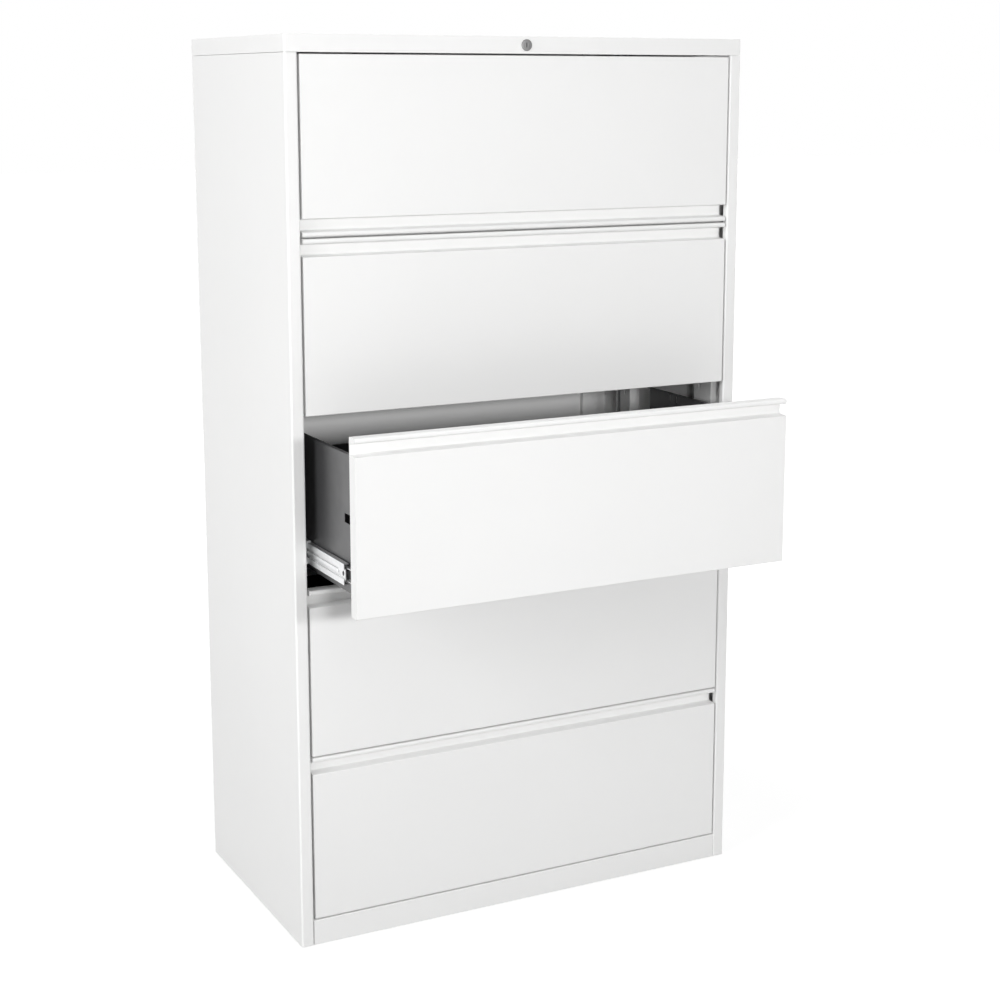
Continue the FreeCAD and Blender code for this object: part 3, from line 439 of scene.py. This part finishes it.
def turned_ring(outer, bore, front, back, rim):
    """A ring on the axis of the lock, its front rim rounded where asked."""
    low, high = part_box("lock_housing")
    middle = Vector(((low.x + high.x) / 2, (front + back) / 2, (low.z + high.z) / 2))
    nothing_selected()
    bpy.ops.mesh.primitive_cylinder_add(
        vertices=RING_SIDES, radius=outer / 2, depth=back - front,
        location=middle, rotation=(math.pi / 2, 0, 0))
    ring = bpy.context.object
    if rim:
        select_top(ring, Vector((0, -1, 0)))
        bpy.ops.mesh.bevel(offset=rim, segments=6, affect="EDGES")
        bpy.ops.object.mode_set(mode="OBJECT")
    bpy.ops.mesh.primitive_cylinder_add(
        vertices=RING_SIDES, radius=bore / 2, depth=DRILL_LENGTH * (back - front),
        location=middle, rotation=(math.pi / 2, 0, 0))
    drill = bpy.context.object
    hole = ring.modifiers.new("bore", "BOOLEAN")
    hole.object = drill
    hole.operation = "DIFFERENCE"
    bpy.context.view_layer.objects.active = ring
    bpy.ops.object.modifier_apply(modifier="bore")
    bpy.data.objects.remove(drill)
    return ring


def evenly(low, high, count):
    """Places in a row, the first and the last at its ends."""
    return [low + (high - low) * step / (count - 1) for step in range(count)]


# Operators

def nodes_of_slot(slot):
    """The cabinet's own pieces that the record gives a finish."""
    return [part["node"] for part in frame["record"]["subparts"] if part["material_slot"] == slot]


def coat_nodes(nodes, material):
    """Give pieces of the cabinet one material."""
    for name in nodes:
        node = frame["nodes"][name]
        node.data.materials.clear()
        node.data.materials.append(material)


class CABINET_OT_white_coat(bpy.types.Operator):
    """Give the case, the door and the drawer fronts their white powder coat"""
    bl_idname = "cabinet.white_coat"
    bl_label = "White powder coat"

    def execute(self, context):
        finish = context.scene.cabinet_finish
        material = powder_coat(
            "white_powder_coat", finish.white_coat, finish.coat_roughness, finish.peel_size,
            variation=0.015)
        coat_nodes(nodes_of_slot("white_paint"), material)
        return {"FINISHED"}


class CABINET_OT_black_coat(bpy.types.Operator):
    """Give the drawer tubs their black powder coat"""
    bl_idname = "cabinet.black_coat"
    bl_label = "Black powder coat"

    def execute(self, context):
        finish = context.scene.cabinet_finish
        material = powder_coat(
            "black_powder_coat", finish.black_coat, roughness=0.32, peel_size=finish.peel_size,
            variation=0.2, lustre=1.75)
        coat_nodes(nodes_of_slot("black_paint"), material)
        return {"FINISHED"}


class CABINET_OT_zinc_plate(bpy.types.Operator):
    """Plate the slides, the door gear and the lock rods"""
    bl_idname = "cabinet.zinc_plate"
    bl_label = "Zinc plate"

    def execute(self, context):
        finish = context.scene.cabinet_finish
        material = plated_steel("zinc_plate", finish.zinc, roughness=0.36, grain_axis="y")
        coat_nodes(nodes_of_slot("zinc_steel") + nodes_of_slot("foot_steel"), material)
        return {"FINISHED"}


class CABINET_OT_lock_finish(bpy.types.Operator):
    """Finish the lock's housing and plug in satin nickel"""
    bl_idname = "cabinet.lock_finish"
    bl_label = "Lock nickel"

    def execute(self, context):
        finish = context.scene.cabinet_finish
        material = plated_steel("lock_nickel", finish.nickel, roughness=0.38, grain_axis="x")
        coat_nodes(nodes_of_slot("lock_metal"), material)
        return {"FINISHED"}


class CABINET_OT_inner_finishes(bpy.types.Operator):
    """Finish the counterweight, the door's carriages and the levers at the slides"""
    bl_idname = "cabinet.inner_finishes"
    bl_label = "Iron and nylon"

    def execute(self, context):
        finish = context.scene.cabinet_finish
        coat_nodes(nodes_of_slot("bare_iron"), cast_iron("cast_iron", finish.iron))
        coat_nodes(nodes_of_slot("nylon"), moulded_nylon("moulded_nylon", finish.nylon))
        # The levers' black nylon, which also paints the shade in the slides' front channel.
        moulded_nylon("black_nylon_and_shade", finish.black_nylon_and_shade, lustre=1.2)
        return {"FINISHED"}


class CABINET_OT_back_screws(bpy.types.Operator):
    """Put the screws down both edges of the back panel"""
    bl_idname = "cabinet.back_screws"
    bl_label = "Back panel screws"

    def execute(self, context):
        sizes = context.scene.cabinet_fasteners
        low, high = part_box("back_panel")
        side_low, side_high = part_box("right_side_panel")
        heights = evenly(
            side_low.z + SCREW_MARGIN, side_high.z - SCREW_MARGIN, sizes.screw_rows)
        edges = (low.x + SCREW_INSET, high.x - SCREW_INSET)
        places = [(x, side_high.y, z) for x in edges for z in heights]
        screws = heads_at(
            "back_panel_screws", places, sizes.screw_head, sizes.screw_rise,
            Vector((0, 1, 0)), recessed=True)
        screws.data.materials.append(bpy.data.materials["zinc_plate"])
        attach(screws, "case")
        return {"FINISHED"}


class CABINET_OT_slide_rivets(bpy.types.Operator):
    """Put the rivets that hold a drawer's slides to its tub"""
    bl_idname = "cabinet.slide_rivets"
    bl_label = "Slide rivets"

    def execute(self, context):
        sizes = context.scene.cabinet_fasteners
        for drawer in DRAWERS:
            low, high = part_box(f"{drawer}_inner_slides")
            tub_low, tub_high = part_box(f"{drawer}_tub")
            level = (low.z + high.z) / 2
            row = evenly(low.y + RIVET_FRONT, high.y - RIVET_BACK, RIVETS_IN_ROW)
            for label, wall, side in (("left", tub_low.x, -1), ("right", tub_high.x, 1)):
                face = wall + side * SLIDE_SHEET
                rivets = heads_at(
                    f"{drawer}_{label}_rivets", [(face, y, level) for y in row],
                    sizes.rivet_head, sizes.rivet_rise, Vector((side, 0, 0)))
                rivets.data.materials.append(bpy.data.materials["zinc_plate"])
                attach(rivets, drawer)
        return {"FINISHED"}


class CABINET_OT_slide_ribs(bpy.types.Operator):
    """Put the stiffening ribs along the webs of the middle slides"""
    bl_idname = "cabinet.slide_ribs"
    bl_label = "Slide ribs"

    def execute(self, context):
        sizes = context.scene.cabinet_fasteners
        half = sizes.rib_height / 2
        for drawer in DRAWERS:
            low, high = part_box(f"{drawer}_middle_slides")
            level = (low.z + high.z) / 2
            for label, edge, side in (("left", low.x, -1), ("right", high.x, 1)):
                web = edge - side * RIB_WEB
                foot = web - side * RIB_SEAT
                crest = web + side * sizes.rib_rise
                inner, outer = min(foot, crest), max(foot, crest)
                rib = join_all([rounded_block(
                    (inner, low.y + RIB_END, level - half),
                    (outer, high.y - RIB_END, level + half), RIB_ROUNDING,
                )], f"{drawer}_{label}_rib")
                smooth_bends(rib)
                rib.data.materials.append(bpy.data.materials["zinc_plate"])
                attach(rib, f"{drawer}_middle")
        return {"FINISHED"}


class CABINET_OT_release_levers(bpy.types.Operator):
    """Put the black levers that free a drawer at the front of its slides; their black is also
    painted shade in the channel there
    """
    bl_idname = "cabinet.release_levers"
    bl_label = "Release levers"

    def execute(self, context):
        sizes = context.scene.cabinet_fasteners
        for drawer in DRAWERS:
            low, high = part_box(f"{drawer}_inner_slides")
            tub_low, tub_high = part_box(f"{drawer}_tub")
            level = (low.z + high.z) / 2
            front = low.y + LEVER_SETBACK
            back = front + sizes.lever_length
            pad = sizes.lever_height / 2
            bar = pad * LEVER_BAR
            for label, wall, side in (("left", tub_low.x, -1), ("right", tub_high.x, 1)):
                near = wall + side * LEVER_SEAT
                far = near + side * sizes.lever_thickness
                inner, outer = min(near, far), max(near, far)
                lever = join_all([
                    rounded_block(
                        (inner, front, level - pad), (outer, front + LEVER_PAD, level + pad),
                        LEVER_ROUNDING),
                    rounded_block(
                        (inner, front + LEVER_PAD - LEVER_LAP, level - bar),
                        (outer, back, level + bar), LEVER_ROUNDING),
                ], f"{drawer}_{label}_lever")
                smooth_bends(lever)
                # This black is partly the lever's own colour and partly painted shade in the
                # slide's channel.
                lever.data.materials.append(bpy.data.materials["black_nylon_and_shade"])
                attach(lever, drawer)
        return {"FINISHED"}


class CABINET_OT_lock_face(bpy.types.Operator):
    """Turn the lock's housing with a rounded flange"""
    bl_idname = "cabinet.lock_face"
    bl_label = "Lock housing"

    def execute(self, context):
        sizes = context.scene.cabinet_fasteners
        low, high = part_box("lock_housing")
        plug_low, plug_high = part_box("lock_plug")
        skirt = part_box("top_panel")[0].y
        flange = high.x - low.x
        bore = plug_high.x - plug_low.x + PLUG_GAP
        housing = join_all([
            turned_ring(flange, bore, low.y, skirt, sizes.lock_rounding),
            turned_ring(flange - FLANGE_STEP, bore, skirt - RING_LAP, high.y, rim=0),
        ], "lock_housing_face")
        smooth_bends(housing)
        housing.data.materials.append(bpy.data.materials["lock_nickel"])
        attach(housing, "case")
        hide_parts("lock_housing")
        return {"FINISHED"}


class CABINET_OT_studio(bpy.types.Operator):
    """Set up the floor, the light and the camera"""
    bl_idname = "cabinet.studio"
    bl_label = "Studio"

    def execute(self, context):
        settings = context.scene.cabinet_studio
        lay_floor()
        light_sky(context.scene, settings.sky_light)
        hang_lamps()
        set_camera(context.scene, settings)
        context.scene.view_settings.view_transform = "Standard"
        return {"FINISHED"}


# Studio

def seen_rays(tree):
    """One where a ray comes from the camera, or from a mirror or glass that it looks into."""
    path = tree.nodes.new("ShaderNodeLightPath")
    total = path.outputs["Is Camera Ray"]
    for ray in ("Is Glossy Ray", "Is Transmission Ray"):
        either = tree.nodes.new("ShaderNodeMath")
        either.operation = "MAXIMUM"
        tree.links.new(total, either.inputs[0])
        tree.links.new(path.outputs[ray], either.inputs[1])
        total = either.outputs["Value"]
    return total


def lay_floor():
    """Grey paper that keeps the shadow, and glows so that the eye sees it white."""
    nothing_selected()
    bpy.ops.mesh.primitive_plane_add(size=FLOOR_WIDTH, location=(0, 0, 0))
    floor = bpy.context.object
    floor.name = "studio_floor"
    material = bpy.data.materials.new("studio_paper")
    material.use_nodes = True
    tree = material.node_tree
    tree.nodes.clear()
    output = tree.nodes.new("ShaderNodeOutputMaterial")
    paper = tree.nodes.new("ShaderNodeBsdfDiffuse")
    paper.inputs["Color"].default_value = FLOOR_GREY
    glow = tree.nodes.new("ShaderNodeEmission")
    glow.inputs["Color"].default_value = WHITE
    place = tree.nodes.new("ShaderNodeTexCoord")
    reach = tree.nodes.new("ShaderNodeVectorMath")
    reach.operation = "LENGTH"
    tree.links.new(place.outputs["Object"], reach.inputs[0])
    fade = tree.nodes.new("ShaderNodeMapRange")
    fade.inputs["From Min"].default_value, fade.inputs["From Max"].default_value = GLOW_REACH
    fade.inputs["To Min"].default_value, fade.inputs["To Max"].default_value = GLOW_STRENGTH
    tree.links.new(reach.outputs["Value"], fade.inputs["Value"])
    seen = tree.nodes.new("ShaderNodeMath")
    seen.operation = "MULTIPLY"
    tree.links.new(fade.outputs["Result"], seen.inputs[0])
    tree.links.new(seen_rays(tree), seen.inputs[1])
    tree.links.new(seen.outputs["Value"], glow.inputs["Strength"])
    both = tree.nodes.new("ShaderNodeAddShader")
    tree.links.new(paper.outputs["BSDF"], both.inputs[0])
    tree.links.new(glow.outputs["Emission"], both.inputs[1])
    tree.links.new(both.outputs["Shader"], output.inputs["Surface"])
    floor.data.materials.append(material)


def light_sky(scene, strength):
    """A white backdrop to the eye, and a softer even light on the cabinet."""
    world = bpy.data.worlds.new("studio_sky")
    scene.world = world
    world.use_nodes = True
    tree = world.node_tree
    tree.nodes.clear()
    output = tree.nodes.new("ShaderNodeOutputWorld")
    backdrop = tree.nodes.new("ShaderNodeBackground")
    backdrop.inputs["Strength"].default_value = 1.0
    light = tree.nodes.new("ShaderNodeBackground")
    light.inputs["Strength"].default_value = strength
    choice = tree.nodes.new("ShaderNodeMixShader")
    tree.links.new(seen_rays(tree), choice.inputs["Fac"])
    tree.links.new(light.outputs["Background"], choice.inputs[1])
    tree.links.new(backdrop.outputs["Background"], choice.inputs[2])
    tree.links.new(choice.outputs["Shader"], output.inputs["Surface"])
    for source in (backdrop, light):
        source.inputs["Color"].default_value = WHITE


def hang_lamps():
    """Hang the soft boxes, all turned to the cabinet."""
    for name, place, width, height, power in LAMPS:
        lamp = bpy.data.lights.new(name, "AREA")
        lamp.shape = "RECTANGLE"
        lamp.size = width
        lamp.size_y = height
        lamp.energy = power
        holder = bpy.data.objects.new(name, lamp)
        holder.location = place
        aim = LAMP_AIM - Vector(place)
        holder.rotation_euler = aim.to_track_quat("-Z", "Y").to_euler()
        bpy.context.scene.collection.objects.link(holder)


def set_camera(scene, settings):
    """Stand the camera where the photograph's viewpoint is."""
    lens = bpy.data.cameras.new("photograph_camera")
    lens.sensor_width = SENSOR_WIDTH
    lens.lens = settings.focal_pixels * SENSOR_WIDTH / IMAGE_WIDTH
    lens.shift_y = (settings.centre_row - IMAGE_WIDTH / 2) / IMAGE_WIDTH
    camera = bpy.data.objects.new("photograph_camera", lens)
    flat = math.cos(settings.elevation)
    back = Vector((
        math.sin(settings.azimuth) * flat,
        -math.cos(settings.azimuth) * flat,
        math.sin(settings.elevation),
    ))
    camera.location = Vector(settings.target) + back * settings.distance
    camera.rotation_euler = (-back).to_track_quat("-Z", "Y").to_euler()
    scene.collection.objects.link(camera)
    scene.camera = camera


# Panel and start

OPERATORS = (
    CABINET_OT_white_coat,
    CABINET_OT_black_coat,
    CABINET_OT_zinc_plate,
    CABINET_OT_lock_finish,
    CABINET_OT_inner_finishes,
    CABINET_OT_back_screws,
    CABINET_OT_slide_rivets,
    CABINET_OT_slide_ribs,
    CABINET_OT_release_levers,
    CABINET_OT_lock_face,
    CABINET_OT_studio,
)


class CABINET_PT_dressing(bpy.types.Panel):
    """The steps that dress the cabinet, in order"""
    bl_idname = "CABINET_PT_dressing"
    bl_label = "Filing cabinet"
    bl_space_type = "VIEW_3D"
    bl_region_type = "UI"
    bl_category = "Cabinet"

    def draw(self, context):
        for step in OPERATORS:
            self.layout.operator(step.bl_idname)
        scene = context.scene
        for group in (scene.cabinet_finish, scene.cabinet_fasteners, scene.cabinet_studio):
            box = self.layout.box()
            for name in group.__annotations__:
                box.prop(group, name)


CLASSES = (FinishSettings, FastenerSettings, StudioSettings, *OPERATORS, CABINET_PT_dressing)


def register():
    for item in CLASSES:
        bpy.utils.register_class(item)
    bpy.types.Scene.cabinet_finish = bpy.props.PointerProperty(type=FinishSettings)
    bpy.types.Scene.cabinet_fasteners = bpy.props.PointerProperty(type=FastenerSettings)
    bpy.types.Scene.cabinet_studio = bpy.props.PointerProperty(type=StudioSettings)


def unregister():
    del bpy.types.Scene.cabinet_studio
    del bpy.types.Scene.cabinet_fasteners
    del bpy.types.Scene.cabinet_finish
    for item in reversed(CLASSES):
        bpy.utils.unregister_class(item)


def main():
    register()
    bpy.ops.cabinet.white_coat()
    bpy.ops.cabinet.black_coat()
    bpy.ops.cabinet.zinc_plate()
    bpy.ops.cabinet.lock_finish()
    bpy.ops.cabinet.inner_finishes()
    bpy.ops.cabinet.back_screws()
    bpy.ops.cabinet.slide_rivets()
    bpy.ops.cabinet.slide_ribs()
    bpy.ops.cabinet.release_levers()
    bpy.ops.cabinet.lock_face()
    bpy.ops.cabinet.studio()


if __name__ == "__main__":
    main()
